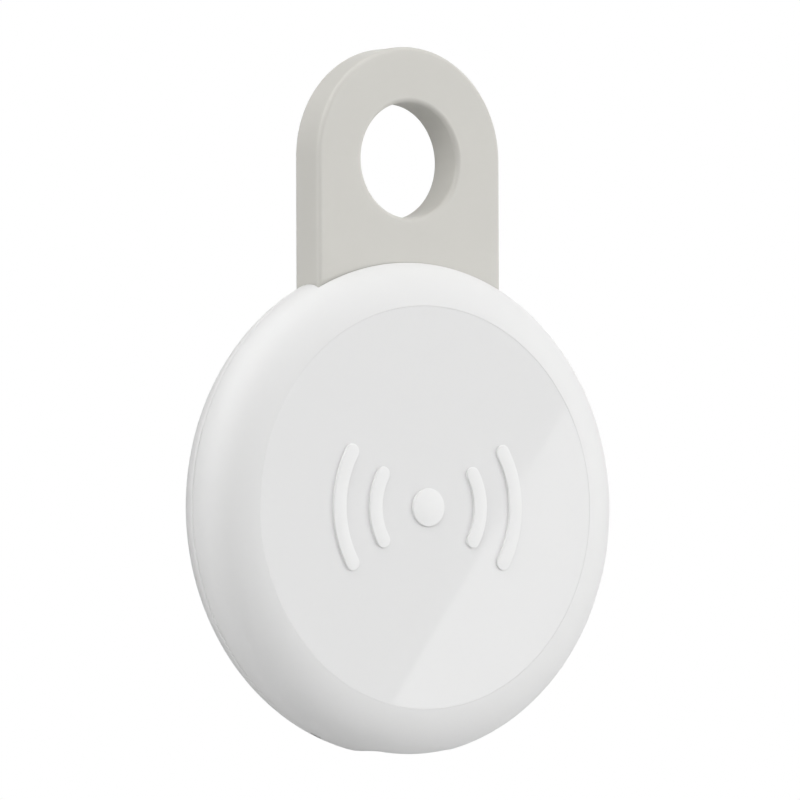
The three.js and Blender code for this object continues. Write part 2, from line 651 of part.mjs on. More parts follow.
// ---------------------------------------------------------------- battery
// A flat strip running out from a centre at an angle, with a leg up to the board's back.
function strip(centreZ, degrees, innerR, outerR, y0, y1, width) {
  const half = width / 2;
  const flat = box(innerR, outerR, y0, y1, -half, half);
  const leg = box(outerR - TAB_SHEET, outerR, boardBackY, y1, -half, half);
  const geometry = toGeometry(flat.add(leg));
  geometry.rotateY(-THREE.MathUtils.degToRad(degrees));
  geometry.translate(0, 0, centreZ);
  return solid(geometry);
}

function makeBattery() {
  const lidR = BATTERY_R - LID_INSET;
  const canInnerR = BATTERY_R - CAN_SHEET;
  const canFrontY = batteryFrontY + CAN_LIP_DROP;
  const lidBackY = batteryFrontY + LID_THICKNESS;
  const canFloorY = batteryBackY - CAN_SHEET;
  part('battery_can', turned([
    [0, canFloorY],
    [canInnerR, canFloorY],
    [canInnerR, canFrontY],
    [BATTERY_R, canFrontY],
    [BATTERY_R, batteryBackY],
    [0, batteryBackY],
  ], batteryZ, MIDDLE_AROUND), STEEL, 0.3, 0.9);
  const lid = disc(lidR, batteryFrontY, lidBackY, 0, batteryZ, MIDDLE_AROUND);
  part('battery_lid', lid, STEEL, 0.3, 0.9);
  const seal = ring(lidR, canInnerR, canFrontY, lidBackY, batteryZ, MIDDLE_AROUND);
  part('battery_seal', seal, 0x2f6f9a, 0.6);
  const stack = disc(lidR, lidBackY, canFloorY, 0, batteryZ, MIDDLE_AROUND);
  part('battery_cell_stack', stack, 0x5b4a3c, 0.8);
  const padInnerR = BATTERY_R / 3;
  const padOuterR = lidR - TAB_SHEET;
  const slotHalf = TAB_WIDTH / 2 + TAB_SLOT_CLEARANCE;
  const pad = ring(padInnerR, padOuterR, boardBackY, batteryFrontY, batteryZ, MIDDLE_AROUND)
    .subtract(box(0, 2 * BATTERY_R, boardBackY - 1, batteryFrontY + 1,
      batteryZ - slotHalf, batteryZ + slotHalf));
  part('battery_pad', pad, 0x26282a, 0.9);
  const tabOuterR = BATTERY_R + TAB_STAND_OFF + TAB_SHEET;
  const negative = strip(batteryZ, NEGATIVE_TAB.angle, NEGATIVE_TAB.weldR, tabOuterR,
    batteryFrontY - TAB_SHEET, batteryFrontY, TAB_WIDTH);
  part('battery_tab_negative', negative, STEEL, 0.35, 0.9);
  const positive = strip(batteryZ, POSITIVE_TAB.angle, POSITIVE_TAB.weldR, tabOuterR,
    batteryBackY, batteryBackY + TAB_SHEET, TAB_WIDTH);
  part('battery_tab_positive', positive, STEEL, 0.35, 0.9);
}

// ---------------------------------------------------------------- sounder
function makeSounder() {
  const plateBackY = floorY - PIEZO_ADHESIVE;
  const adhesiveInnerR = PIEZO_R - PIEZO_ADHESIVE_WIDTH;
  const adhesive = ring(adhesiveInnerR, PIEZO_R, plateBackY, floorY, piezoZ, MIDDLE_AROUND);
  part('piezo_adhesive', adhesive, 0xd9d4c4, 0.8);
  const brass = disc(PIEZO_R, plateFrontY, plateBackY, 0, piezoZ, MIDDLE_AROUND);
  part('piezo_plate', brass, GOLD, 0.3, 0.9);
  const ceramic = disc(CERAMIC_R, ceramicFrontY, plateFrontY, 0, piezoZ, MIDDLE_AROUND);
  part('piezo_ceramic', ceramic, 0xb9b6ac, 0.5);
  const batteryReach = BATTERY_R + Math.abs(batteryZ - piezoZ);
  const leadOuterR = Math.max(PIEZO_R, batteryReach) + LEAD_STAND_OFF;
  const plateLead = strip(piezoZ, PLATE_LEAD.angle, PIEZO_R - PLATE_LEAD.overlap, leadOuterR,
    plateFrontY - TAB_SHEET, plateFrontY, LEAD_WIDTH);
  part('piezo_lead_plate', plateLead, GOLD, 0.35, 0.9);
  const ceramicLead = strip(piezoZ, CERAMIC_LEAD.angle, CERAMIC_R - CERAMIC_LEAD.overlap,
    leadOuterR, ceramicFrontY - TAB_SHEET, ceramicFrontY, LEAD_WIDTH);
  part('piezo_lead_ceramic', ceramicLead, GOLD, 0.35, 0.9);
}

// ---------------------------------------------------------------- assembly
makeLoopEye();
makeLoopNeck();
makeFrontShell();
makeBackShell();
makeShellSeals();
makeVentMembrane();
makeFaceCap();
makeSwitch();
makeBoard();
makeComponents();
makeUsb();
makeBattery();
makeSounder();

const tag = new THREE.Group();
tag.add(...meshes);
tag.position.z = -eyeZ;

export default tag;
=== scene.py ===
# %% [markdown]
# # A tracker tag on a soft loop
# The tag is a white plastic puck with a glossy press face, a charging port in its bottom edge and
# a loop of silicone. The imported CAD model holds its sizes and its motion. This lesson gives the
# visible pieces a fine surface and every piece a finish, and then lights and frames them.

import math

import bmesh
import bpy
from mathutils import Matrix, Vector


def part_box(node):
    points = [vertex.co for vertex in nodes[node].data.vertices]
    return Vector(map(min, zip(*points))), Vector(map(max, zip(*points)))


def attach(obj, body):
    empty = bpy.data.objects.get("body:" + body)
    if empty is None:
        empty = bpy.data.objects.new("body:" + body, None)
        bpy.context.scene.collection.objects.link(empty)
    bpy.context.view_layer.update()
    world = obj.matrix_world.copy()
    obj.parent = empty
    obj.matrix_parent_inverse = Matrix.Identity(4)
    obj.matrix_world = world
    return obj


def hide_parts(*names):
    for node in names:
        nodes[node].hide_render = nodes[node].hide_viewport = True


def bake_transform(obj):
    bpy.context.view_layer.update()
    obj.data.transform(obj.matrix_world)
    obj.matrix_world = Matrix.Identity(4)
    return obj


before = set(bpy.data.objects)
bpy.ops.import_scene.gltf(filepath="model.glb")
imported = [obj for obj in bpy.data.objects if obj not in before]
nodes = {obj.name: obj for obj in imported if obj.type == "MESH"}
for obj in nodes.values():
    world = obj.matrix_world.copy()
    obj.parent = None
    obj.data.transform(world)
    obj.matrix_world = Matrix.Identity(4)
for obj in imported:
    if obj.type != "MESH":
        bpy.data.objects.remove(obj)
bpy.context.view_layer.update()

# %% [markdown]
# ## Sizes
# Shapes below are drawn in millimetres, because the real drawings are, and each mesh is scaled to
# metres when it is finished. The main sizes are read off the CAD solids, so nothing drifts from
# them.

# %% Sizes from the frame
MM = 0.001


def box_mm(node):
    low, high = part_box(node)
    return Vector(low) / MM, Vector(high) / MM


cap_low, cap_high = box_mm("face_cap")
front_low, front_high = box_mm("front_shell")
_, back_high = box_mm("back_shell")
_, eye_high = box_mm("loop_eye")
port_low, port_high = box_mm("usb_shell")
gasket_low, gasket_high = box_mm("usb_gasket")

PUCK_R = front_high.x
PUCK_Z = (cap_low.z + cap_high.z) / 2
FACE_Y = front_low.y
BACK_Y = back_high.y
FACE_BACK_Y = FACE_Y + 1.0
FLANGE_R = cap_high.x
FLANGE_BACK_Y = FACE_BACK_Y + 0.8
EYE_R = 4.55
LOOP_HALF_WIDTH = eye_high.x
LOOP_HALF_DEPTH = eye_high.y
LOOP_TOP_Z = eye_high.z
print(f"puck radius {PUCK_R:.2f}, centre {PUCK_Z:.2f}, face {FACE_Y:.2f}, back {BACK_Y:.2f} mm")
print(f"the port starts {port_low.z - PUCK_Z + PUCK_R:.2f} mm above the bottom edge")

# %% Sizes of the shells
WIDEST_Y = -0.35
FRONT_CURVE = {"width": 5.4, "fullness": 2.33}
BACK_CURVE = {"width": 6.9, "fullness": 2.18}
INNER_CURVE = {"width": 4.8, "fullness": 2.18}
BACK_WALL = 1.2
SIDE_WALL = 2.3
OPENING_R = PUCK_R - 3.75
LAP_R = PUCK_R - 1.4
LAP_RISE = 0.5
SHOULDER_Y = -1.0
FACE_BORE_R = FLANGE_R + 0.2
INNER_R = PUCK_R - SIDE_WALL
FLOOR_Y = BACK_Y - BACK_WALL
SLOT_CLEARANCE = 0.1
MOUTH_LIP = 0.15
HAIRLINE = 0.035
FACE_HAIRLINE = 0.004
EDGE_BREAK = 0.08
SOUND_SLOT_TURN = math.radians(24)
AROUND = 192
CURVE_STEPS = 26
print(f"opening radius {OPENING_R:.2f}, side wall {SIDE_WALL:.2f}, floor at {FLOOR_Y:.2f} mm")

# %% [markdown]
# ## Helpers for making meshes
# The puck is a turned shape, so most pieces start as a few points beside the axis that are spun
# all the way round. Slots and ports are then cut with Boolean modifiers, whose result is kept as
# the piece's own mesh.

# %% Spinning and finishing a mesh


def clean(bm, merge=1e-4):
    bmesh.ops.remove_doubles(bm, verts=bm.verts, dist=merge)
    bmesh.ops.recalc_face_normals(bm, faces=bm.faces)


def to_piece(bm, name, in_mm=True):
    """Turns a bmesh drawn in millimetres into an object at the origin, in metres."""
    clean(bm)
    if in_mm:
        bmesh.ops.scale(bm, vec=(MM, MM, MM), verts=bm.verts)
    mesh = bpy.data.meshes.new(name)
    bm.to_mesh(mesh)
    bm.free()
    piece = bpy.data.objects.new(name, mesh)
    bpy.context.collection.objects.link(piece)
    return piece


def spun(points, steps=AROUND, closed=True, centre_z=PUCK_Z):
    """Spins (radius, y) points about the puck's axis, which runs along Y."""
    bm = bmesh.new()
    verts = [bm.verts.new((r, y, centre_z)) for r, y in points]
    pairs = zip(verts, verts[1:] + verts[:1]) if closed else zip(verts, verts[1:])
    edges = [bm.edges.new(pair) for pair in pairs]
    bmesh.ops.spin(
        bm, geom=verts + edges, cent=(0, 0, centre_z), axis=(0, 1, 0),
        angle=2 * math.pi, steps=steps, use_merge=True,
    )
    clean(bm)
    return bm


# %% Tools for cutting


def block(low, high):
    bm = bmesh.new()
    bmesh.ops.create_cube(bm, size=1)
    size = Vector(high) - Vector(low)
    bmesh.ops.scale(bm, vec=size, verts=bm.verts)
    bmesh.ops.translate(bm, vec=(Vector(high) + Vector(low)) / 2, verts=bm.verts)
    return bm


def drum(radius, y0, y1, x=0.0, z=PUCK_Z, segments=48):
    bm = bmesh.new()
    bmesh.ops.create_cone(
        bm, cap_ends=True, segments=segments, radius1=radius, radius2=radius, depth=y1 - y0,
    )
    turn = Matrix.Rotation(math.radians(90), 3, "X")
    bmesh.ops.rotate(bm, cent=(0, 0, 0), matrix=turn, verts=bm.verts)
    bmesh.ops.translate(bm, vec=(x, (y0 + y1) / 2, z), verts=bm.verts)
    return bm


def rounded_rod(half_width, half_height, z0, z1, flat=0.1, segments=9):
    """A bar along Z whose section is a rounded rectangle, like a charging plug."""
    bm = bmesh.new()
    bmesh.ops.create_grid(bm, x_segments=1, y_segments=1, size=1)
    bmesh.ops.scale(bm, vec=(half_width, half_height, 1), verts=bm.verts)
    bmesh.ops.bevel(
        bm, geom=bm.verts[:], offset=half_height - flat, segments=segments, profile=0.5,
        affect="VERTICES", material=-1,
    )
    bmesh.ops.translate(bm, vec=(0, 0, z0), verts=bm.verts)
    grown = bmesh.ops.extrude_face_region(bm, geom=bm.faces[:])["geom"]
    top = [item for item in grown if isinstance(item, bmesh.types.BMVert)]
    bmesh.ops.translate(bm, vec=(0, 0, z1 - z0), verts=top)
    clean(bm)
    return bm


def carve(piece, operation, *tools):
    """Cuts or joins a piece with tools, keeps the result as its mesh, and clears the tools."""
    solids = [to_piece(tool, "tool") if isinstance(tool, bmesh.types.BMesh) else tool
              for tool in tools]
    for solid in solids:
        cut = piece.modifiers.new("carve", "BOOLEAN")
        cut.operation = operation
        cut.solver = "EXACT"
        cut.object = solid
    view = bpy.context.evaluated_depsgraph_get()
    view.update()
    result = bpy.data.meshes.new_from_object(piece.evaluated_get(view))
    old = piece.data
    piece.modifiers.clear()
    piece.data = result
    result.name = old.name
    bpy.data.meshes.remove(old)
    for solid in solids:
        spent = solid.data
        bpy.data.objects.remove(solid)
        bpy.data.meshes.remove(spent)
    return piece


def shade(piece, crease_degrees=32):
    """Smooth faces, with creases kept where the surface turns sharply."""
    for polygon in piece.data.polygons:
        polygon.use_smooth = True
    piece.data.set_sharp_from_angle(angle=math.radians(crease_degrees))


def tell(piece):
    print(f"{piece.name}: {len(piece.data.polygons)} faces")


# %% [markdown]
# ## The rounded edge
# Moulded edges of this kind aren't plain quarter circles: they start gently at the flat face and
# tighten towards the side. A superellipse has that shape with one number, its fullness.

# %% Points of a rounded edge


def edge_points(outer_r, flat_y, width, fullness, start_r=None, steps=CURVE_STEPS):
    """(radius, y) points from start_r, which lies at flat_y, out to the widest circle."""
    share = 0 if start_r is None else (start_r - outer_r + width) / width
    start = math.asin(share ** (fullness / 2))
    depth = (flat_y - WIDEST_Y) / math.cos(start) ** (2 / fullness)
    points = []
    for step in range(steps + 1):
        turn = start + (math.pi / 2 - start) * step / steps
        reach = math.sin(turn) ** (2 / fullness)
        drop = max(math.cos(turn), 0.0) ** (2 / fullness)
        points.append((outer_r - width + width * reach, WIDEST_Y + depth * drop))
    return points


# %% [markdown]
# ## Shader helpers
# A finish is a small sum: a base colour, plus a little noise, times a mask. One class wraps a
# node's output so that such sums can be written as sums, and one method adds any other node.

# %% A socket that can be added and multiplied


class Wire:
    """An output socket of a node, with the operators that shader sums use."""

    def __init__(self, owner, socket):
        self.owner = owner
        self.socket = socket

    def math(self, operation, *others):
        return self.owner.node("ShaderNodeMath", {"operation": operation},
                               dict(enumerate((self,) + others)))

    def __add__(self, other):
        return self.math("ADD", other)

    def __radd__(self, other):
        return self.math("ADD", other)

    def __sub__(self, other):
        return self.math("SUBTRACT", other)

    def __rsub__(self, other):
        return self.owner.node("ShaderNodeMath", {"operation": "SUBTRACT"}, {0: other, 1: self})

    def __mul__(self, other):
        return self.math("MULTIPLY", other)

    def __rmul__(self, other):
        return self.math("MULTIPLY", other)

    def above(self, level):
        return self.math("GREATER_THAN", level)

    def below(self, level):
        return self.math("LESS_THAN", level)


# %% A tree of nodes


class NodeTree:
    """The nodes of a material or a world, added one by one."""

    def __init__(self, tree):
        self.tree = tree

    def node(self, kind, settings=None, inputs=None, output=0):
        made = self.tree.nodes.new(kind)
        for key, value in (settings or {}).items():
            setattr(made, key, value)
        for key, value in (inputs or {}).items():
            self.feed(made.inputs[key], value)
        return Wire(self, made.outputs[output])

    def feed(self, socket, value):
        if isinstance(value, Wire):
            self.tree.links.new(value.socket, socket)
        elif isinstance(value, tuple) and len(value) == 3 and len(socket.default_value) == 4:
            socket.default_value = (*value, 1.0)
        else:
            socket.default_value = value

    def apart(self, vector):
        """The x, y and z of a vector as three wires."""
        split = self.node("ShaderNodeSeparateXYZ", {}, {"Vector": vector})
        outputs = split.socket.node.outputs
        return [Wire(self, outputs[axis]) for axis in range(3)]


# %% A finish


class Finish(NodeTree):
    """A material on one Principled shader, with the nodes that finishes share."""

    def __init__(self, name):
        self.material = bpy.data.materials.new(name)
        self.material.use_nodes = True
        super().__init__(self.material.node_tree)
        self.shader = self.tree.nodes["Principled BSDF"]

    def surface(self, **inputs):
        for key, value in inputs.items():
            self.feed(self.shader.inputs[key.replace("_", " ")], value)

    def place(self, centre_mm=(0, 0, 0), turn=(0, 0, 0), stretch=(1, 1, 1)):
        """The piece's own coordinates in millimetres, centred and turned on a feature."""
        raw = self.node("ShaderNodeTexCoord", output="Object")
        scale = tuple(part / MM for part in stretch)
        offset = tuple(-centre * part for centre, part in zip(centre_mm, stretch))
        moved = self.node("ShaderNodeMapping", {"vector_type": "POINT"},
                          {"Vector": raw, "Location": offset, "Scale": scale})
        if turn == (0, 0, 0):
            return moved
        return self.node("ShaderNodeMapping", {}, {"Vector": moved, "Rotation": turn})

    def noise(self, vector, scale, detail=2.0, roughness=0.5):
        return self.node("ShaderNodeTexNoise", {}, {
            "Vector": vector, "Scale": scale, "Detail": detail, "Roughness": roughness})

    def mix(self, factor, low, high):
        return self.node("ShaderNodeMix", {"data_type": "RGBA"}, {0: factor, 6: low, 7: high}, 2)

    def bump(self, height, depth_mm, strength=1.0, normal=None):
        inputs = {"Height": height, "Distance": depth_mm * MM, "Strength": strength}
        if normal is not None:
            inputs["Normal"] = normal
        return self.node("ShaderNodeBump", {}, inputs)


print("shader helpers are ready")

# %% [markdown]
# ## Finishes of the visible pieces
# The shells are moulded in a white plastic whose tool was blasted, which leaves a very fine grain
# that scatters light. The press face comes from a polished tool. The loop is silicone, which is
# softer, a little warmer in colour and never quite even.

# %% Matt moulded shell


def matt_shell(name, tone=0.80, grain_mm=0.16, grain_depth=0.006):
    finish = Finish(name)
    at = finish.place()
    cloud = finish.noise(at, 0.12, 3.0)
    grain = finish.noise(at, 1 / grain_mm, 3.0, 0.62)
    pits = finish.node("ShaderNodeTexVoronoi", {"feature": "SMOOTH_F1"},
                       {"Vector": at, "Scale": 1.6 / grain_mm})
    low = (tone - 0.012, tone - 0.012, tone - 0.016)
    high = (tone + 0.01, tone + 0.01, tone + 0.008)
    colour = finish.mix(cloud, low, high)
    height = grain + pits * 0.5
    rounded = finish.node("ShaderNodeBevel", {"samples": 6}, {"Radius": 0.09 * MM})
    finish.surface(
        Base_Color=colour, Roughness=0.5 + grain * 0.14,
        Normal=finish.bump(height, grain_depth, 0.7, rounded), IOR=1.49,
    )
    return finish.material


# %% Polished press face


def polished_face(name, tone=0.85):
    finish = Finish(name)
    at = finish.place()
    cloud = finish.noise(at, 0.1, 2.0)
    wipe = finish.noise(finish.place(turn=(0, 0.6, 0), stretch=(0.25, 1, 5)), 1.3, 4.0, 0.6)
    ripple = finish.noise(at, 0.35, 1.0)
    low = (tone - 0.004, tone - 0.004, tone - 0.005)
    high = (tone + 0.004, tone + 0.004, tone + 0.003)
    finish.surface(
        Base_Color=finish.mix(cloud, low, high), Roughness=0.004 + wipe * 0.008,
        Normal=finish.bump(ripple, 0.0002, 0.1), IOR=1.5,
    )
    return finish.material


# %% Soft silicone


def silicone(name, colour=(0.628, 0.617, 0.579)):
    finish = Finish(name)
    at = finish.place()
    cloud = finish.noise(at, 0.22, 4.0, 0.6)
    dust = finish.noise(at, 5.0, 3.0, 0.7)
    grain = finish.noise(at, 9.0, 2.0, 0.6)
    low = tuple(part * 0.975 for part in colour)
    high = tuple(part * 1.02 for part in colour)
    body = finish.mix(cloud * 0.7 + dust * 0.3, low, high)
    finish.surface(
        Base_Color=body, Roughness=0.46 + dust * 0.14,
        Normal=finish.bump(grain, 0.005, 0.6), IOR=1.41,
        Sheen_Weight=0.08, Sheen_Roughness=0.5,
    )
    return finish.material


# %% [markdown]
# ## Front shell
# On the bench this is a white ring: a flat matt band round the opening, a rounded edge, and a
# stepped inside that holds the press face and the seal. It is one spun outline. The slot for the
# loop, the port's mouth and the sound slot are cut out of it afterwards.

# %% Cutting tools for the shells
BEYOND = 2.0
SEAT_GAP = 0.05
TONGUE_END_Z = PUCK_Z + INNER_R - 3.6


def loop_slot():
    half_width = LOOP_HALF_WIDTH + SLOT_CLEARANCE
    half_depth = LOOP_HALF_DEPTH + SLOT_CLEARANCE
    return block((-half_width, -half_depth, TONGUE_END_Z),
                 (half_width, half_depth, PUCK_Z + PUCK_R + BEYOND))


def port_tools():
    """The mouth, a well a little wider behind its lip, and the gasket's seat."""
    wide, high = gasket_high.x - 0.4, gasket_high.y - 0.4
    mouth = rounded_rod(wide - MOUTH_LIP, high - MOUTH_LIP, PUCK_Z - PUCK_R - BEYOND, port_high.z)
    well = rounded_rod(wide, high, port_low.z - SEAT_GAP, port_high.z)
    seat = rounded_rod(gasket_high.x + SEAT_GAP, gasket_high.y + SEAT_GAP,
                       gasket_low.z - SEAT_GAP, port_high.z)
    return mouth, well, seat


def sound_slot():
    bm = block((-0.55, -0.25, -PUCK_R - BEYOND), (0.55, 0.25, -INNER_R + BEYOND))
    turn = Matrix.Rotation(SOUND_SLOT_TURN, 3, "Y")
    bmesh.ops.rotate(bm, cent=(0, 0, 0), matrix=turn, verts=bm.verts)
    bmesh.ops.translate(bm, vec=(0, 0, PUCK_Z), verts=bm.verts)
    return bm


# %% Spin and cut the front shell


def make_front_shell():
    outer = edge_points(PUCK_R, FACE_Y, start_r=OPENING_R, **FRONT_CURVE)
    seam = -HAIRLINE
    points = [
        *outer,
        (PUCK_R, seam - EDGE_BREAK),
        (PUCK_R - EDGE_BREAK * 0.3, seam - EDGE_BREAK * 0.3),
        (PUCK_R - EDGE_BREAK, seam),
        (LAP_R + 0.1, seam),
        (LAP_R + 0.1, SHOULDER_Y),
        (FACE_BORE_R, SHOULDER_Y),
        (FACE_BORE_R, FACE_BACK_Y),
        (OPENING_R, FACE_BACK_Y),
    ]
    piece = to_piece(spun(points), "front_shell_fine")
    slot = to_piece(loop_slot(), "slot")
    carve(slot, "DIFFERENCE", drum(INNER_R - 0.1, FACE_Y - 1, SHOULDER_Y, segments=AROUND))
    carve(piece, "DIFFERENCE", slot, *port_tools(), sound_slot())
    shade(piece)
    piece.data.materials.append(matt_shell("matt_white_front"))
    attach(piece, "puck")
    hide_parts("front_shell")
    tell(piece)


make_front_shell()

# %% [markdown]
# ## Back shell
# The back is a shallow bowl. Its outside and inside are the same kind of curve, and a thin lap
# stands up inside the front shell. Four posts carry the board, and a shelf with two small posts
# holds the tongue of the loop.

# %% Spin and fit out the back shell
POST_ANGLES = (18, 162, 231, 309)
POST_R, POST_TIP_R = 1.2, 0.6
SHELF_HALF_WIDTH, SHELF_Y = 7.4, 1.6
TONGUE_PIN_X, TONGUE_PIN_R = 5.0, 0.7
TONGUE_PIN_Z = (TONGUE_END_Z + PUCK_Z + math.sqrt(INNER_R ** 2 - TONGUE_PIN_X ** 2)) / 2
battery_low, battery_high = box_mm("battery_can")
_, piezo_high = box_mm("piezo_plate")
BATTERY_Z = (battery_low.z + battery_high.z) / 2
POST_RING = max(battery_high.x, piezo_high.x) + 2.1
BOARD_LOW, BOARD_HIGH = box_mm("main_board")


def inside_skin():
    width = BACK_CURVE["width"] - SIDE_WALL / 2
    flat_y = BACK_Y - BACK_WALL / 2
    edge = edge_points(PUCK_R - SIDE_WALL / 2, flat_y, width, BACK_CURVE["fullness"])
    points = [(0, flat_y), *edge, (PUCK_R - SIDE_WALL / 2, FACE_Y), (0, FACE_Y)]
    return spun(points, closed=False)


def posts_and_shelf():
    shelf = to_piece(block((-SHELF_HALF_WIDTH, SHELF_Y, TONGUE_END_Z),
                           (SHELF_HALF_WIDTH, BACK_Y, PUCK_Z + PUCK_R)), "shelf")
    carve(shelf, "INTERSECT", drum(INNER_R - 0.1, 1.8, BACK_Y + 1, segments=AROUND))
    pins = []
    for degrees in POST_ANGLES:
        angle = math.radians(degrees)
        x = POST_RING * math.cos(angle)
        z = BATTERY_Z + POST_RING * math.sin(angle)
        pins.append(drum(POST_R, BOARD_HIGH.y, BACK_Y, x, z))
        pins.append(drum(POST_TIP_R, BOARD_LOW.y - 0.1, BACK_Y, x, z))
    for side in (-1, 1):
        pins.append(drum(TONGUE_PIN_R, -0.9, BACK_Y, side * TONGUE_PIN_X, TONGUE_PIN_Z))
    carve(shelf, "UNION", *pins)
    return carve(shelf, "INTERSECT", inside_skin())


def make_back_shell():
    outer = [point for point in edge_points(PUCK_R, BACK_Y, **BACK_CURVE)
             if point[1] > HAIRLINE + 2 * EDGE_BREAK]
    inner = [point for point in edge_points(INNER_R, FLOOR_Y, **INNER_CURVE) if point[1] > 0.02]
    seam = HAIRLINE
    side_r = outer[-1][0] + 0.006
    points = [
        (0, FLOOR_Y),
        *inner,
        (INNER_R, seam),
        (INNER_R, -LAP_RISE),
        (LAP_R, -LAP_RISE),
        (LAP_R, seam),
        (side_r - EDGE_BREAK, seam),
        (side_r - EDGE_BREAK * 0.3, seam + EDGE_BREAK * 0.3),
        (side_r, seam + EDGE_BREAK),
        *reversed(outer),
        (0, BACK_Y),
    ]
    piece = to_piece(spun(points, closed=False), "back_shell_fine")
    carve(piece, "DIFFERENCE", loop_slot(), *port_tools(), sound_slot())
    carve(piece, "UNION", posts_and_shelf())
    shade(piece)
    piece.data.materials.append(matt_shell("matt_white_back"))
    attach(piece, "puck")
    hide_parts("back_shell")
    tell(piece)


make_back_shell()

# %% [markdown]
# ## Press face
# The glossy cap is pressed with a thumb. It is a disc with a flange behind the rim, a groove for
# its seal and a nub that meets the switch. All of that is round, so one outline that starts and
# ends on the axis is spun into the whole cap.

# %% Spin the cap
NUB_R = 1.6
GROOVE_R = FACE_BORE_R - 0.55
plunger_low, _ = box_mm("switch_plunger")


def make_face_cap():
    cap_r = OPENING_R - FACE_HAIRLINE
    nub_y = plunger_low.y - 0.05
    groove_front = FACE_BACK_Y + 0.15
    flange_inner = FLANGE_R - 2.0
    soft = FACE_HAIRLINE
    points = [
        (0, FACE_Y),
        (cap_r - soft, FACE_Y),
        (cap_r, FACE_Y + soft),
        (cap_r, FACE_BACK_Y),
        (FLANGE_R, FACE_BACK_Y),
        (FLANGE_R, groove_front),
        (GROOVE_R, groove_front),
        (GROOVE_R, groove_front + 0.5),
        (FLANGE_R, groove_front + 0.5),
        (FLANGE_R, FLANGE_BACK_Y),
        (flange_inner, FLANGE_BACK_Y),
        (flange_inner, FACE_BACK_Y),
        (NUB_R, FACE_BACK_Y),
        (NUB_R, nub_y),
        (0, nub_y),
    ]
    piece = to_piece(spun(points, closed=False), "press_face_fine")
    shade(piece)
    piece.data.materials.append(polished_face("polished_white"))
    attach(piece, "face")
    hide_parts("face_cap")
    tell(piece)


make_face_cap()

# %% [markdown]
# ## The raised mark
# The mark is moulded with the cap but left matt, so it shows against the gloss. Here it is a dot
# between broadcast arcs, a sign that says "radio" and names nobody. Each shape is a flat outline
# that is thickened and has its front rim rounded, because a sharp rim would catch no light.

# %% Raise the mark
MARK_RAISE = 0.15
MARK_SUNK = 0.05
MARK_STROKE = 1.2
MARK_ARCS = (5.0, 8.4)
MARK_HALF_ANGLE = math.radians(31)


def thicken(bm, y0, y1, soften, segments, both_rims=False):
    """Gives a flat outline at y0 a thickness up to y1, and rounds the rim of its far face."""
    grown = bmesh.ops.extrude_face_region(bm, geom=bm.faces[:])["geom"]
    moved = [item for item in grown if isinstance(item, bmesh.types.BMVert)]
    bmesh.ops.translate(bm, vec=(0, y1 - y0, 0), verts=moved)
    clean(bm)
    levels = (y0, y1) if both_rims else (y1,)
    rim = [edge for edge in bm.edges if len(edge.link_faces) == 2 and edge.calc_face_angle() > 1
           and any(all(abs(vert.co.y - level) < 1e-4 for vert in edge.verts) for level in levels)]
    bmesh.ops.bevel(
        bm, geom=rim, offset=soften, segments=segments, profile=0.5, affect="EDGES", material=-1,
    )
    return bm


def mark_arc(radius, side):
    """A band beside the centre, spun out of a three-point line, with two half discs as its ends."""
    bm = bmesh.new()
    y = FACE_Y + MARK_SUNK
    half = MARK_STROKE / 2
    start = -MARK_HALF_ANGLE if side > 0 else math.pi - MARK_HALF_ANGLE

    def point(reach, angle):
        return (reach * math.cos(angle), y, PUCK_Z + reach * math.sin(angle))

    def sweep(reaches, angle, centre, axis, turn, steps):
        line = [bm.verts.new(point(reach, angle)) for reach in reaches]
        edges = [bm.edges.new(pair) for pair in zip(line, line[1:])]
        bmesh.ops.spin(bm, geom=line + edges, cent=centre, axis=axis, angle=turn, steps=steps)

    sweep((radius - half, radius, radius + half), start, (0, y, PUCK_Z), (0, -1, 0),
          2 * MARK_HALF_ANGLE, 44)
    for angle, way in ((start, 1), (start + 2 * MARK_HALF_ANGLE, -1)):
        sweep((radius, radius + half), angle, point(radius, angle), (0, way, 0), math.pi, 14)
    bmesh.ops.remove_doubles(bm, verts=bm.verts, dist=1e-3)
    return bm


def mark_dot():
    bm = bmesh.new()
    made = bmesh.ops.create_circle(bm, cap_ends=True, segments=56, radius=1.5)
    turn = Matrix.Rotation(math.radians(90), 3, "X")
    bmesh.ops.rotate(bm, cent=(0, 0, 0), matrix=turn, verts=made["verts"])
    bmesh.ops.translate(bm, vec=(0, FACE_Y + MARK_SUNK, PUCK_Z), verts=made["verts"])
    return bm


def make_mark():
    shapes = [mark_dot()] + [mark_arc(radius, side) for radius in MARK_ARCS for side in (-1, 1)]
    whole = bmesh.new()
    for bm in shapes:
        thicken(bm, FACE_Y + MARK_SUNK, FACE_Y - MARK_RAISE, 0.045, 3)
        clean(bm)
        shape = bpy.data.meshes.new("shape")
        bm.to_mesh(shape)
        bm.free()
        whole.from_mesh(shape)
        bpy.data.meshes.remove(shape)
    piece = to_piece(whole, "face_mark")
    shade(piece, 50)
    piece.data.materials.append(matt_shell("matt_mark", tone=0.86))
    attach(piece, "face")
    tell(piece)


make_mark()

# %% [markdown]
# ## The silicone loop
# The real loop is one moulding: a tab with a round top and a round eye, whose lower end is held
# between the shells. The CAD model bends it at a hinge, so it has two solids there. Here it is one
# piece again. An outline with a hole is filled, thickened and rounded, and rows of points are cut
# across its neck.

# %% Make the loop
LOOP_FILLET = 0.4
NECK_BEND = (-4.8, -8.3)
TONGUE_FRONT, TONGUE_BACK, TONGUE_HALF_WIDTH = -0.9, 1.6, 7.4


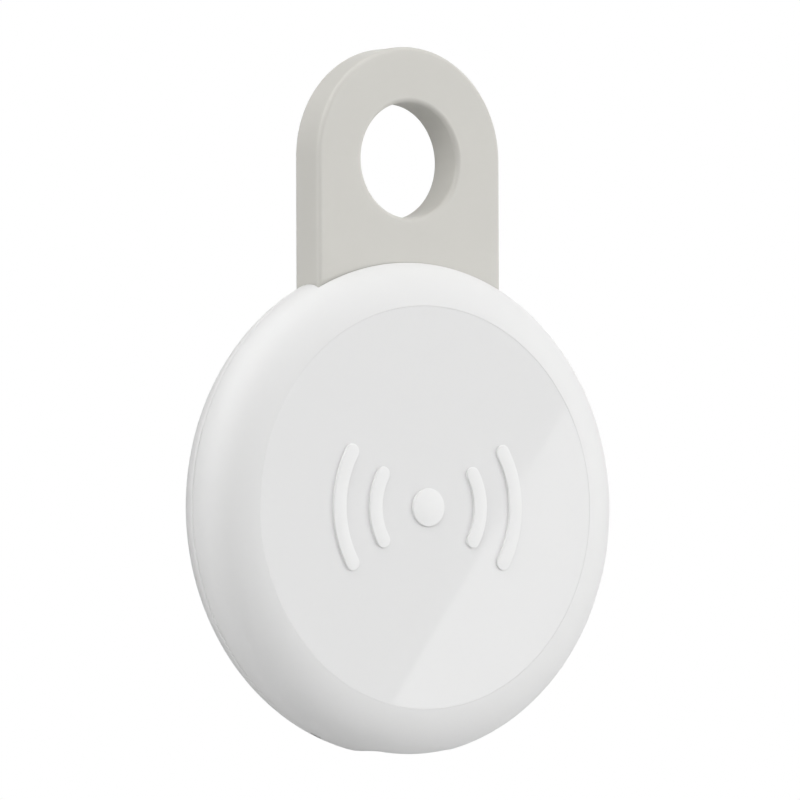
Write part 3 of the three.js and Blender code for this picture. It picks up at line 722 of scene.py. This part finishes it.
def loop_slab():
    bm = bmesh.new()
    y = -LOOP_HALF_DEPTH
    arc_z = LOOP_TOP_Z - LOOP_HALF_WIDTH
    bottom = PUCK_Z + INNER_R - 2.2
    start = bm.verts.new((LOOP_HALF_WIDTH, y, arc_z))
    arc = bmesh.ops.spin(bm, geom=[start], cent=(0, y, arc_z), axis=(0, -1, 0),
                         angle=math.pi, steps=90)["geom_last"]
    last = [item for item in arc if isinstance(item, bmesh.types.BMVert)][0]
    right = bm.verts.new((LOOP_HALF_WIDTH, y, bottom))
    left = bm.verts.new((-LOOP_HALF_WIDTH, y, bottom))
    for pair in ((start, right), (right, left), (left, last)):
        bm.edges.new(pair)
    eye = bmesh.ops.create_circle(bm, cap_ends=False, segments=110, radius=EYE_R)["verts"]
    turn = Matrix.Rotation(math.radians(90), 3, "X")
    bmesh.ops.rotate(bm, cent=(0, 0, 0), matrix=turn, verts=eye)
    bmesh.ops.translate(bm, vec=(0, y, 0), verts=eye)
    bmesh.ops.triangle_fill(bm, use_beauty=True, edges=bm.edges[:])
    thicken(bm, y, LOOP_HALF_DEPTH, LOOP_FILLET, 9, both_rims=True)
    z = NECK_BEND[0] + 0.4
    while z > NECK_BEND[1] - 0.5:
        everything = bm.verts[:] + bm.edges[:] + bm.faces[:]
        bmesh.ops.bisect_plane(bm, geom=everything, plane_co=(0, 0, z), plane_no=(0, 0, 1))
        z -= 0.22
    return bm


def make_loop():
    piece = to_piece(loop_slab(), "silicone_loop")
    carve(piece, "DIFFERENCE", drum(INNER_R, -3, 3, segments=AROUND))
    half = TONGUE_HALF_WIDTH
    tongue = to_piece(block((-half, TONGUE_FRONT, TONGUE_END_Z),
                            (half, TONGUE_BACK, PUCK_Z + INNER_R - 0.6)), "tongue")
    carve(tongue, "DIFFERENCE",
          *[drum(TONGUE_PIN_R + 0.1, -2, 3, side * TONGUE_PIN_X, TONGUE_PIN_Z)
            for side in (-1, 1)])
    carve(piece, "UNION", tongue)
    shade(piece, 40)
    piece.data.materials.append(silicone("warm_grey_silicone"))
    even = piece.modifiers.new("even_shading", "WEIGHTED_NORMAL")
    even.keep_sharp = True
    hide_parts("loop_eye", "loop_neck")
    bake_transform(piece)
    tell(piece)


make_loop()

# %% [markdown]
# ## The charging port
# A port of this kind is a steel sheet wrapped round a plastic tongue. Only its mouth shows in the
# bottom edge, so the sheet's edge, the tongue and its gold contacts are what matter. The rows of
# contacts are small blocks set in both faces of the tongue.

# %% Finishes of the port


def sheet_metal(name, dark, light, rough=0.3, line=(0.4, 9, 9), centre=(0, 0, 0)):
    """Rolled sheet: fine lines along the rolling direction and faint stains."""
    finish = Finish(name)
    at = finish.place(centre)
    lines = finish.noise(finish.place(centre, stretch=line), 1.0, 4.0, 0.7)
    stain = finish.noise(at, 0.45, 3.0, 0.6)
    colour = finish.mix(lines * 0.45 + stain * 0.55, dark, light)
    finish.surface(
        Base_Color=colour, Metallic=1.0, Roughness=rough + lines * 0.12 + stain * 0.08,
        Normal=finish.bump(lines, 0.004, 0.5),
    )
    return finish.material


def moulded(name, dark, light, rough=0.5, grain_mm=0.12, depth=0.004, cloud_mm=3.0, ior=1.5):
    """Any small moulding: an uneven colour, a fine grain and a slightly uneven shine."""
    finish = Finish(name)
    at = finish.place()
    cloud = finish.noise(at, 1 / cloud_mm, 3.0, 0.6)
    grain = finish.noise(at, 1 / grain_mm, 3.0, 0.6)
    finish.surface(
        Base_Color=finish.mix(cloud * 0.7 + grain * 0.3, dark, light),
        Roughness=rough + grain * 0.12, Normal=finish.bump(grain, depth, 0.6), IOR=ior,
    )
    return finish.material


STEEL = ((0.36, 0.36, 0.37), (0.62, 0.62, 0.63))
GOLD = ((0.74, 0.52, 0.20), (0.95, 0.75, 0.38))

# %% Make the port
SHEET = 0.3
MOUTH_Z = port_low.z
PORT_END_Z = port_high.z
PORT_HALF_WIDTH = gasket_high.x - 0.6
PORT_HALF_HEIGHT = gasket_high.y - 0.6


def make_port_sheet():
    wide, high = PORT_HALF_WIDTH, PORT_HALF_HEIGHT
    piece = to_piece(rounded_rod(wide, high, MOUTH_Z, PORT_END_Z), "port_sheet")
    inside = rounded_rod(wide - SHEET, high - SHEET, MOUTH_Z - 1, PORT_END_Z - SHEET)
    carve(piece, "DIFFERENCE", inside)
    board_y = box_mm("main_board")[0].y
    for side in (-1, 1):
        near, far = sorted((side * (wide - 0.65), side * (wide + 1.0)))
        foot = block((near, board_y - SHEET, PORT_END_Z - 3.0), (far, board_y, PORT_END_Z - 1.5))
        carve(piece, "UNION", foot)
    soft = piece.modifiers.new("soft_edges", "BEVEL")
    soft.width, soft.segments = 0.04 * MM, 2
    soft.limit_method, soft.angle_limit = "ANGLE", math.radians(60)
    shade(piece)
    piece.data.materials.append(sheet_metal("port_steel", *STEEL, line=(9, 9, 0.5)))
    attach(piece, "puck")
    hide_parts("usb_shell")
    tell(piece)


tongue_low, tongue_high = box_mm("usb_tongue")


def make_port_tongue():
    bm = block(tongue_low, tongue_high)
    front = [edge for edge in bm.edges
             if all(abs(vert.co.z - tongue_low.z) < 1e-4 for vert in edge.verts)]
    bmesh.ops.bevel(
        bm, geom=front, offset=0.12, segments=3, profile=0.5, affect="EDGES", material=-1,
    )
    piece = to_piece(bm, "port_tongue")
    shade(piece)
    piece.data.materials.append(
        moulded("tongue_plastic", (0.012, 0.012, 0.013), (0.03, 0.03, 0.032), 0.42))
    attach(piece, "puck")
    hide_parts("usb_tongue")
    tell(piece)


def make_contacts():
    whole = bmesh.new()
    for face_y in (tongue_low.y, tongue_high.y):
        for place in range(12):
            x = (place - 5.5) * 0.5
            made = bmesh.ops.create_cube(whole, size=1)["verts"]
            bmesh.ops.scale(whole, vec=(0.28, 0.06, 4.6), verts=made)
            bmesh.ops.translate(whole, vec=(x, face_y, tongue_low.z + 2.75), verts=made)
    piece = to_piece(whole, "port_contacts")
    piece.data.materials.append(sheet_metal("gold_plate", *GOLD, rough=0.2, line=(12, 12, 1)))
    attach(piece, "puck")
    tell(piece)


make_port_sheet()
make_port_tongue()
make_contacts()

# %% [markdown]
# ## Finishes of the pieces inside
# The pieces inside keep their CAD shapes. Each gets the surface of its own material: a green
# laminate board with copper under the mask, epoxy chips with a pin-one dot, nickelled steel,
# brass, fired ceramic, foam, rubber and a woven vent. Patterns are centred on the piece they are
# on, in millimetres, so they have the real size.

# %% Board


def laminate_board(name):
    finish = Finish(name)
    at = finish.place((0, 0, PUCK_Z))
    x, y, z = finish.apart(at)
    cells = finish.node("ShaderNodeTexVoronoi", {"distance": "CHEBYCHEV", "feature": "F1"},
                        {"Vector": at, "Scale": 0.55, "Randomness": 0.85}, 0)
    track = cells.math("PINGPONG", 0.16).above(0.105)
    hole = finish.node("ShaderNodeTexVoronoi", {"feature": "F1"},
                       {"Vector": at, "Scale": 0.5, "Randomness": 0.9}, 0)
    via = hole.below(0.17)
    # Painted shade: each via's centre is painted near black for the inside of a hole that the mesh
    # doesn't have. The same mask also sinks the centre in the bump.
    hole_dip_and_shade = hole.below(0.08)
    weave = ((x * 9.0).math("SINE") + (z * 9.0).math("SINE")) * 0.5
    flat = ((y - (BOARD_LOW.y + BOARD_HIGH.y) / 2).math("ABSOLUTE")).above(0.29)
    cloud = finish.noise(at, 0.4, 3.0)
    mask_colour = finish.mix(cloud, (0.008, 0.075, 0.035), (0.012, 0.11, 0.05))
    lit = finish.mix(track * 0.8, mask_colour, (0.022, 0.20, 0.085))
    plated = finish.mix(via, lit, (0.80, 0.58, 0.26))
    # Painted shade: the via centres get their near-black colour here.
    top = finish.mix(hole_dip_and_shade, plated, (0.01, 0.01, 0.01))
    edge = finish.mix(cloud, (0.32, 0.29, 0.15), (0.45, 0.42, 0.24))
    finish.surface(
        Base_Color=finish.mix(flat, edge, top), Metallic=via * flat * 0.9,
        Roughness=0.34 + cloud * 0.12 - via * 0.08,
        Normal=finish.bump(track * 0.6 + weave * 0.12 - hole_dip_and_shade, 0.03, 0.5), IOR=1.55,
    )
    return finish.material


# %% Chips and small parts


def epoxy_chip(name, node):
    """Black epoxy with a fine filler grain and a round pin-one dot near one corner."""
    low, high = box_mm(node)
    finish = Finish(name)
    corner = (low.x + 0.14 * (high.x - low.x), low.y, high.z - 0.14 * (high.z - low.z))
    x, _, z = finish.apart(finish.place(corner))
    dot = (x * x + z * z).math("SQRT").below(0.05 * (high.x - low.x))
    at = finish.place()
    filler = finish.noise(at, 14.0, 3.0, 0.7)
    cloud = finish.noise(at, 0.6, 2.0)
    body = finish.mix(filler * 0.6 + cloud * 0.4, (0.010, 0.010, 0.011), (0.034, 0.034, 0.036))
    finish.surface(
        Base_Color=finish.mix(dot, body, (0.08, 0.08, 0.082)), Roughness=0.48 + filler * 0.2,
        Normal=finish.bump(filler * 0.5 - dot, 0.01, 0.6),
    )
    return finish.material


def end_capped(name, node, dark, light, cap=0.22):
    """A ceramic block with tinned ends, as a capacitor, crystal or chip antenna has."""
    low, high = box_mm(node)
    finish = Finish(name)
    at = finish.place(tuple((low + high) / 2))
    x, _, z = finish.apart(at)
    ends = x.math("ABSOLUTE").above((0.5 - cap) * (high.x - low.x))
    speck = finish.noise(at, 9.0, 3.0, 0.7)
    body = finish.mix(speck, dark, light)
    tin = finish.mix(speck, (0.50, 0.50, 0.51), (0.72, 0.72, 0.73))
    finish.surface(
        Base_Color=finish.mix(ends, body, tin), Metallic=ends,
        Roughness=0.5 - ends * 0.15 + speck * 0.1, Normal=finish.bump(speck + ends, 0.006, 0.5),
    )
    return finish.material


def coil_core(name):
    """A ferrite block with a round winding showing through its lacquer."""
    low, high = box_mm("boost_coil")
    finish = Finish(name)
    at = finish.place(tuple((low + high) / 2))
    x, _, z = finish.apart(at)
    reach = (x * x + z * z).math("SQRT")
    turns = (reach * 26.0).math("SINE") * 0.5 + 0.5
    wound = reach.below(1.15) * reach.above(0.35)
    grain = finish.noise(at, 8.0, 4.0, 0.7)
    core = finish.mix(grain, (0.045, 0.046, 0.05), (0.09, 0.09, 0.095))
    copper = finish.mix(turns, (0.16, 0.06, 0.02), (0.50, 0.22, 0.09))
    finish.surface(
        Base_Color=finish.mix(wound * 0.75, core, copper), Roughness=0.4 + grain * 0.2,
        Normal=finish.bump(grain * 0.3 + wound * turns, 0.02, 0.6),
    )
    return finish.material


# %% Battery, sounder and seals


def cell_layers(name):
    """Wound cell layers, dark coated foil and pale separator in turn."""
    low, high = box_mm("battery_cell_stack")
    finish = Finish(name)
    at = finish.place(tuple((low + high) / 2))
    x, _, z = finish.apart(at)
    wobble = finish.noise(at, 0.5, 2.0)
    reach = (x * x + z * z).math("SQRT") + wobble * 0.3
    turns = (reach * 14.0).math("SINE") * 0.5 + 0.5
    finish.surface(
        Base_Color=finish.mix(turns, (0.05, 0.035, 0.03), (0.30, 0.24, 0.20)),
        Roughness=0.6 + wobble * 0.2, Normal=finish.bump(turns, 0.02, 0.6),
    )
    return finish.material


def open_foam(name):
    finish = Finish(name)
    at = finish.place()
    cells = finish.node("ShaderNodeTexVoronoi", {"feature": "F1"}, {"Vector": at, "Scale": 5.0})
    dust = finish.noise(at, 1.2, 3.0)
    finish.surface(
        Base_Color=finish.mix(cells, (0.008, 0.008, 0.009), (0.05, 0.05, 0.055)),
        Roughness=0.85 + dust * 0.1, Normal=finish.bump(cells, 0.05, 0.9),
    )
    return finish.material


def woven_vent(name):
    """A fine plain weave that lets sound out and keeps water in drops outside."""
    finish = Finish(name)
    at = finish.place((0, 0, PUCK_Z), turn=(0, -SOUND_SLOT_TURN, 0))
    x, y, _ = finish.apart(at)
    warp = (x * 42.0).math("SINE")
    weft = (y * 42.0).math("SINE")
    over = warp * weft * 0.5 + 0.5
    fuzz = finish.noise(at, 12.0, 3.0, 0.7)
    finish.surface(
        Base_Color=finish.mix(over * 0.7 + fuzz * 0.3, (0.010, 0.010, 0.011), (0.06, 0.06, 0.063)),
        Roughness=0.75 + fuzz * 0.2, Normal=finish.bump(over, 0.03, 0.9),
    )
    return finish.material


# %% Hand the finishes out
TAN = ((0.33, 0.22, 0.12), (0.46, 0.33, 0.19))
BRASS = ((0.55, 0.38, 0.13), (0.82, 0.62, 0.28))
battery_centre = tuple((battery_low + battery_high) / 2)
rubber = moulded("dark_rubber", (0.014, 0.014, 0.015), (0.045, 0.045, 0.047), 0.62, 0.2, 0.01)
nickel = sheet_metal("nickelled_can", *STEEL, rough=0.22, centre=battery_centre)
tab = sheet_metal("tab_strip", (0.45, 0.45, 0.44), (0.70, 0.70, 0.68), rough=0.3)
brass = sheet_metal("rolled_brass", *BRASS, rough=0.26)
finishes = {
    "shell_seal_left": rubber,
    "shell_seal_right": rubber,
    "face_seal": rubber,
    "usb_gasket": rubber,
    "vent_membrane": woven_vent("vent_weave"),
    "switch_base": moulded("switch_nylon", (0.012, 0.012, 0.013), (0.04, 0.04, 0.042), 0.5),
    "switch_plunger": moulded("plunger_cream", (0.62, 0.56, 0.40), (0.74, 0.68, 0.52), 0.4),
    "main_board": laminate_board("green_laminate"),
    "radio_chip": epoxy_chip("radio_epoxy", "radio_chip"),
    "charge_chip": epoxy_chip("charger_epoxy", "charge_chip"),
    "sounder_driver": epoxy_chip("driver_epoxy", "sounder_driver"),
    "radio_crystal": sheet_metal("crystal_lid", (0.42, 0.42, 0.42), (0.66, 0.66, 0.65), 0.35),
    "chip_antenna": end_capped("antenna_block", "chip_antenna", (0.62, 0.60, 0.53),
                               (0.78, 0.76, 0.70), 0.15),
    "boost_coil": coil_core("lacquered_coil"),
    "battery_can": nickel,
    "battery_lid": nickel,
    "battery_seal": moulded("cell_seal_blue", (0.02, 0.10, 0.20), (0.04, 0.17, 0.30), 0.45),
    "battery_cell_stack": cell_layers("wound_cell"),
    "battery_pad": open_foam("black_foam"),
    "battery_tab_negative": tab,
    "battery_tab_positive": tab,
    "piezo_adhesive": moulded("cloudy_adhesive", (0.52, 0.50, 0.42), (0.68, 0.65, 0.55), 0.6,
                              0.3, 0.01),
    "piezo_plate": brass,
    "piezo_lead_plate": brass,
    "piezo_lead_ceramic": brass,
    "piezo_ceramic": moulded("silvered_ceramic", (0.42, 0.41, 0.37), (0.58, 0.57, 0.53), 0.45,
                             0.25, 0.006),
}
for number in range(1, 5):
    node = f"capacitor_{number}"
    finishes[node] = end_capped(f"capacitor_body_{number}", node, *TAN)
for node, material in finishes.items():
    nodes[node].data.materials.clear()
    nodes[node].data.materials.append(material)
print("finished", len(finishes), "CAD nodes")

# %% [markdown]
# ## Camera
# The tag hangs and is seen from its left and a touch from below, through a long lens, so that its
# circles stay nearly true. A camera is placed by three directions: to the right, up, and back
# from the object towards the lens.

# %% Place the camera
AZIMUTH = math.radians(-35.079)
ELEVATION = math.radians(-1.507)
ROLL = math.radians(-0.191)
DISTANCE = 546.1
LOOK_RIGHT, LOOK_UP = -2.142, 8.404

back = Vector((math.sin(AZIMUTH) * math.cos(ELEVATION), -math.cos(AZIMUTH) * math.cos(ELEVATION),
               math.sin(ELEVATION)))
level_right = Vector((math.cos(AZIMUTH), math.sin(AZIMUTH), 0))
level_up = back.cross(level_right)
right = level_right * math.cos(ROLL) + level_up * math.sin(ROLL)
up = level_up * math.cos(ROLL) - level_right * math.sin(ROLL)
face_centre = Vector((0, FACE_Y, PUCK_Z))
looked_at = face_centre + level_right * LOOK_RIGHT + level_up * LOOK_UP
lens_place = looked_at + back * DISTANCE

camera_data = bpy.data.cameras.new("long_lens")
camera_data.lens = 314.5
camera_data.sensor_width = 36.0
camera_data.clip_start, camera_data.clip_end = 0.01, 100
camera = bpy.data.objects.new("camera", camera_data)
bpy.context.collection.objects.link(camera)
placed = Matrix((right, up, back)).transposed().to_4x4()
placed.translation = lens_place * MM
camera.matrix_world = placed
bpy.context.scene.camera = camera
print("camera at", [round(part, 3) for part in camera.location])

# %% [markdown]
# ## Light and floor
# White plastic on white needs soft light with a direction, or its shape is lost. The room itself
# is dim, and large lamps all round draw the shades. To the camera alone the room is white and the
# floor pale, so the backdrop stays clean without lighting the tag from below. One more panel
# stands where the press face mirrors it, and its slanting edge draws the straight reflection
# that shows the face is polished.

# %% Room light
world = bpy.data.worlds.new("soft_room")
world.use_nodes = True
bpy.context.scene.world = world
room = NodeTree(world.node_tree)
direction = room.node("ShaderNodeTexCoord", output="Generated")
height = room.apart(direction)[2]
glow = room.node("ShaderNodeMapRange", {"interpolation_type": "SMOOTHSTEP"}, {
    "Value": height, "From Min": -0.75, "From Max": 0.65, "To Min": 0.025, "To Max": 0.075})
seen = room.node("ShaderNodeLightPath", output="Is Camera Ray")
backdrop = room.tree.nodes["Background"]
room.feed(backdrop.inputs["Color"], (1.0, 1.0, 1.0))
room.feed(backdrop.inputs["Strength"], glow * (1 - seen) + seen)
print("room glow and white backdrop are set")

# %% Lamps
LAMP_DISTANCE_M = 1.5
LAMP_SIDE_M = 1.0
AIM_M = Vector((0, 0, -0.02))
LAMPS = [
    ("front_upper_right", 20, 35, 6.0),
    ("overhead", 0, 85, 8.8),
    ("left_behind", -115, 40, 3.5),
    ("right_behind", 140, 10, 6.3),
    ("front_left", -60, 30, 10.6),
    ("left", -90, 0, 6.3),
    ("right", 60, 0, 13.9),
]


def softbox(name, azimuth, elevation, watts):
    """A square lamp that faces the tag from a direction given in degrees."""
    turn, rise = math.radians(azimuth), math.radians(elevation)
    place = LAMP_DISTANCE_M * Vector((math.sin(turn) * math.cos(rise),
                                      -math.cos(turn) * math.cos(rise), math.sin(rise)))
    lamp = bpy.data.lights.new(name, "AREA")
    lamp.shape = "SQUARE"
    lamp.size = LAMP_SIDE_M
    lamp.energy = watts
    holder = bpy.data.objects.new(name, lamp)
    holder.location = place
    holder.rotation_mode = "QUATERNION"
    holder.rotation_quaternion = (AIM_M - place).to_track_quat("-Z", "Y")
    bpy.context.collection.objects.link(holder)


for lamp_settings in LAMPS:
    softbox(*lamp_settings)
print("lamps:", len(LAMPS))


# %% Panel mirrored by the press face
PANEL_REACH = 3.2


def mirrored_panel(edge_mm, span_m, radiance):
    """A panel one of whose sides is mirrored by the face along the line between two points."""
    eye = Vector((lens_place.x, 2 * FACE_Y - lens_place.y, lens_place.z))
    ends = [eye + (Vector((x, FACE_Y, PUCK_Z + z)) - eye) * PANEL_REACH
            for x, z in edge_mm]
    along = (ends[0] - ends[1]).normalized()
    middle = (ends[0] + ends[1]) / 2
    facing = (face_centre - middle).normalized()
    outward = facing.cross(along).normalized()
    if outward.x < 0:
        along, outward = -along, -outward
    centre = (middle + outward * span_m / MM / 2) * MM
    lamp = bpy.data.lights.new("mirrored_panel", "AREA")
    lamp.shape = "SQUARE"
    lamp.size = span_m
    lamp.energy = radiance * math.pi * span_m ** 2
    holder = bpy.data.objects.new("mirrored_panel", lamp)
    holder.matrix_world = Matrix.Translation(centre) @ Matrix(
        (outward, along, outward.cross(along))).transposed().to_4x4()
    bpy.context.collection.objects.link(holder)
    return holder


panel = mirrored_panel(((13.7, 8.3), (-3.4, -15.2)), 0.7, 1.20)
print("panel at", [round(part, 2) for part in panel.location])

# %% Floor
FLOOR_Z_M = -1.0
FLOOR_HALF_M = 4.0

floor_bm = bmesh.new()
bmesh.ops.create_grid(floor_bm, x_segments=1, y_segments=1, size=FLOOR_HALF_M)
bmesh.ops.translate(floor_bm, vec=(0, 0, FLOOR_Z_M), verts=floor_bm.verts)
floor = to_piece(floor_bm, "pale_floor", in_mm=False)
pale = Finish("pale_floor")
mottle = pale.noise(pale.place(), 0.01, 3.0)
tone = pale.mix(mottle, (0.78, 0.78, 0.78), (0.82, 0.82, 0.82))
pale.surface(Base_Color=tone, Roughness=0.8)
shown = pale.node("ShaderNodeEmission", {}, {"Color": tone, "Strength": 1.0})
for_camera = pale.node("ShaderNodeLightPath", output="Is Camera Ray")
either = pale.node("ShaderNodeMixShader", {}, {
    0: for_camera, 1: Wire(pale, pale.shader.outputs[0]), 2: shown})
pale.feed(pale.tree.nodes["Material Output"].inputs["Surface"], either)
floor.data.materials.append(pale.material)

bpy.context.scene.view_settings.view_transform = "Standard"
print("floor, lamps and panel are in place")
